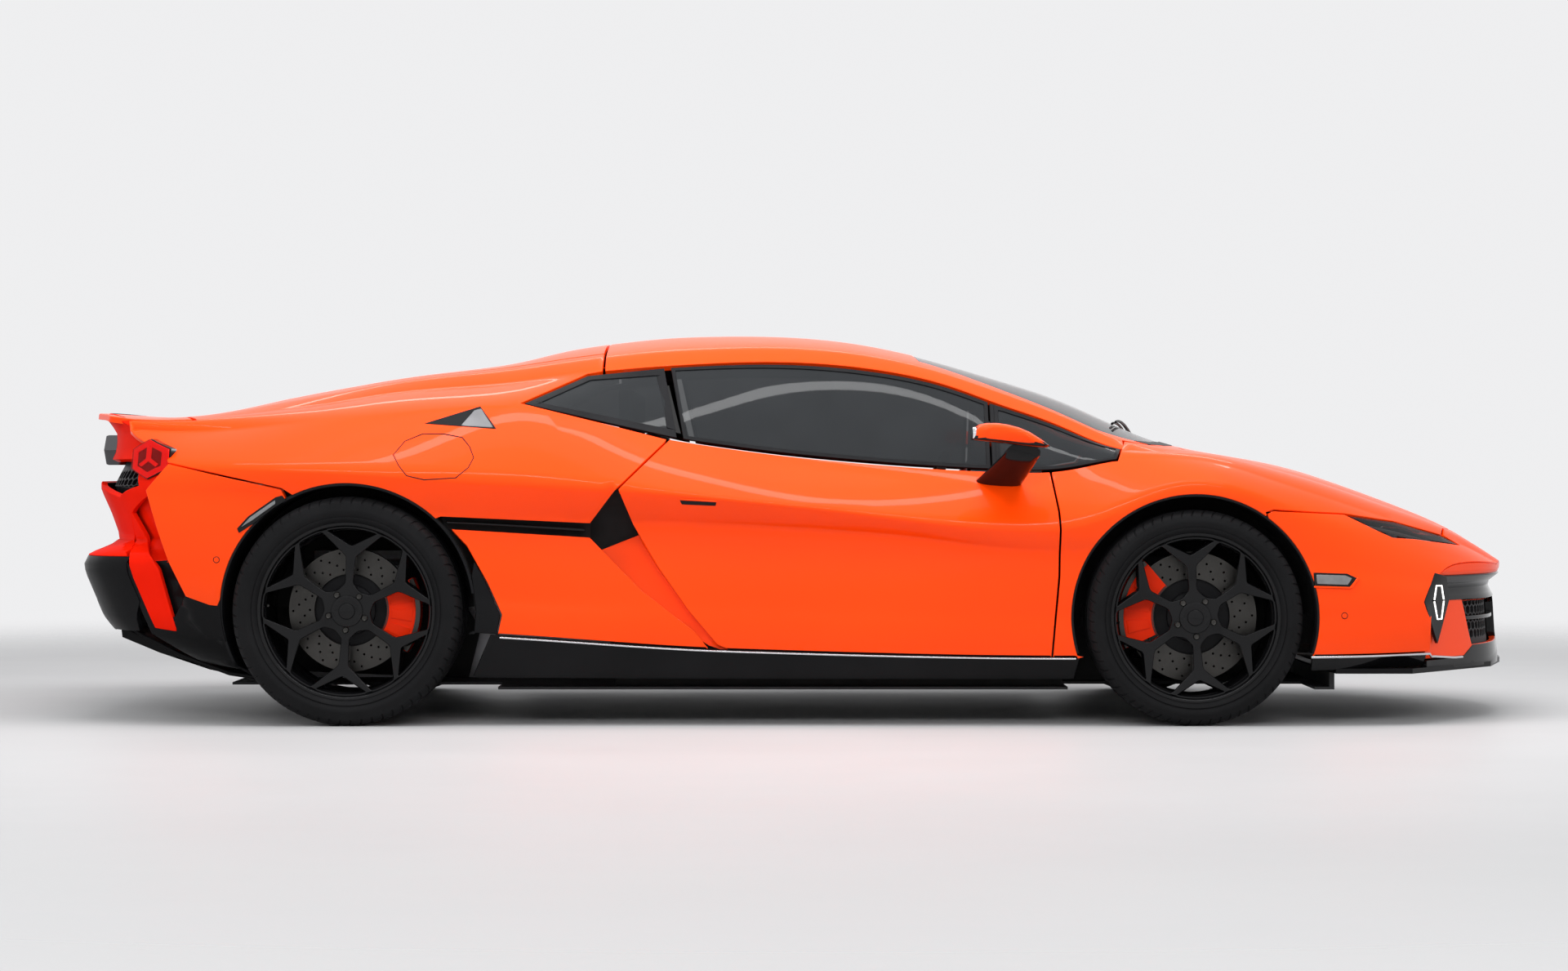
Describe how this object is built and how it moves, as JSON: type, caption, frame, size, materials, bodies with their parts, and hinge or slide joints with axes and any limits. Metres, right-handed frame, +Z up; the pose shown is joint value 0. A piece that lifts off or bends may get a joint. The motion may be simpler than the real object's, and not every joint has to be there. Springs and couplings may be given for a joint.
{
  "type": "mid-engined supercar",
  "caption": "Low wedge-shaped two-seat mid-engined supercar with opening doors, bonnet and engine cover, steered front wheels and four rolling wheels.",
  "frame": {"origin": "on the ground under the middle of the car's bounding box", "axes": "+X to the nose, +Y to the car's left, +Z up"},
  "size_m": [4.706, 2.246, 1.2537],
  "materials": {
    "alloy": "satin",
    "black_gloss": "gloss",
    "black_matte": "satin",
    "body_paint": "gloss metallic",
    "cast_steel": "machined",
    "lamp": "clear",
    "structure": "satin",
    "tail_lamp": "red tinted",
    "trim": "fine grain",
    "tyre_rubber": "matte",
    "wheel_black": "gloss black",
    "window_glass": "tinted gloss"
  },
  "bodies": {
    "chassis": {"chassis_tub": "structure", "luggage_box": "black_matte", "undertray": "black_matte", "powertrain_block": "alloy", "rear_axle": "cast_steel", "suspension_arms": "alloy", "wheel_arch_liners": "black_matte", "fixed_side_windows": "window_glass", "fenders": "body_paint", "headlamps": "lamp", "roof_frame": "body_paint", "windscreen": "window_glass", "rear_quarters": "body_paint", "sill_blades": "black_gloss", "front_bumper": "body_paint", "intake_ducts": "black_matte", "rear_bumper": "body_paint", "rear_valance": "black_gloss", "tail_lamps": "tail_lamp", "rear_grille": "black_matte", "seat_left": "trim", "seat_right": "trim", "dashboard": "trim", "console": "trim", "steering_wheel": "trim", "front_splitter": "black_gloss", "diffuser": "black_gloss", "spoiler": "body_paint", "exhaust": "cast_steel"},
    "bonnet": {"bonnet": "body_paint"},
    "engine_cover": {"engine_cover": "body_paint"},
    "door_left": {"door_shell_left": "body_paint", "door_glass_left": "window_glass", "door_mirror_left": "body_paint"},
    "knuckle_left": {"front_knuckle_left": "alloy"},
    "door_right": {"door_shell_right": "body_paint", "door_glass_right": "window_glass", "door_mirror_right": "body_paint"},
    "knuckle_right": {"front_knuckle_right": "alloy"},
    "wheel_front_left": {"tyre_front_left": "tyre_rubber", "wheel_front_left": "wheel_black"},
    "wheel_front_right": {"tyre_front_right": "tyre_rubber", "wheel_front_right": "wheel_black"},
    "wheel_rear_left": {"tyre_rear_left": "tyre_rubber", "wheel_rear_left": "wheel_black"},
    "wheel_rear_right": {"tyre_rear_right": "tyre_rubber", "wheel_rear_right": "wheel_black"}
  },
  "joints": [
    {"name": "steer_left", "type": "hinge", "parent": "chassis", "child": "knuckle_left", "pos_m": [1.224, 0.7845, 0.338], "axis": [0, 0, 1], "range_deg": [-30, 30]},
    {"name": "spin_front_left", "type": "hinge", "parent": "knuckle_left", "child": "wheel_front_left", "pos_m": [1.224, 0.8605, 0.338], "axis": [0, 1, 0], "continuous": true},
    {"name": "steer_right", "type": "hinge", "parent": "chassis", "child": "knuckle_right", "pos_m": [1.224, -0.7845, 0.338], "axis": [0, 0, 1], "range_deg": [-30, 30]},
    {"name": "spin_front_right", "type": "hinge", "parent": "knuckle_right", "child": "wheel_front_right", "pos_m": [1.224, -0.8605, 0.338], "axis": [0, 1, 0], "continuous": true},
    {"name": "spin_rear_left", "type": "hinge", "parent": "chassis", "child": "wheel_rear_left", "pos_m": [-1.434, 0.8345, 0.359], "axis": [0, 1, 0], "continuous": true},
    {"name": "spin_rear_right", "type": "hinge", "parent": "chassis", "child": "wheel_rear_right", "pos_m": [-1.434, -0.8345, 0.359], "axis": [0, 1, 0], "continuous": true},
    {"name": "door_left_hinge", "type": "hinge", "parent": "chassis", "child": "door_left", "pos_m": [0.728, 0.928, 0.5], "axis": [0, 0, -1], "range_deg": [0, 65]},
    {"name": "door_right_hinge", "type": "hinge", "parent": "chassis", "child": "door_right", "pos_m": [0.728, -0.928, 0.5], "axis": [0, 0, 1], "range_deg": [0, 65]},
    {"name": "bonnet_hinge", "type": "hinge", "parent": "chassis", "child": "bonnet", "pos_m": [1.24, 0, 0.88], "axis": [0, -1, 0], "range_deg": [0, 60]},
    {"name": "engine_cover_hinge", "type": "hinge", "parent": "chassis", "child": "engine_cover", "pos_m": [-0.65, 0, 1.228], "axis": [0, 1, 0], "range_deg": [0, 40]}
  ],
  "couplings": [
    {"joint": "steer_right", "follows": "steer_left", "ratio": 1}
  ]
}
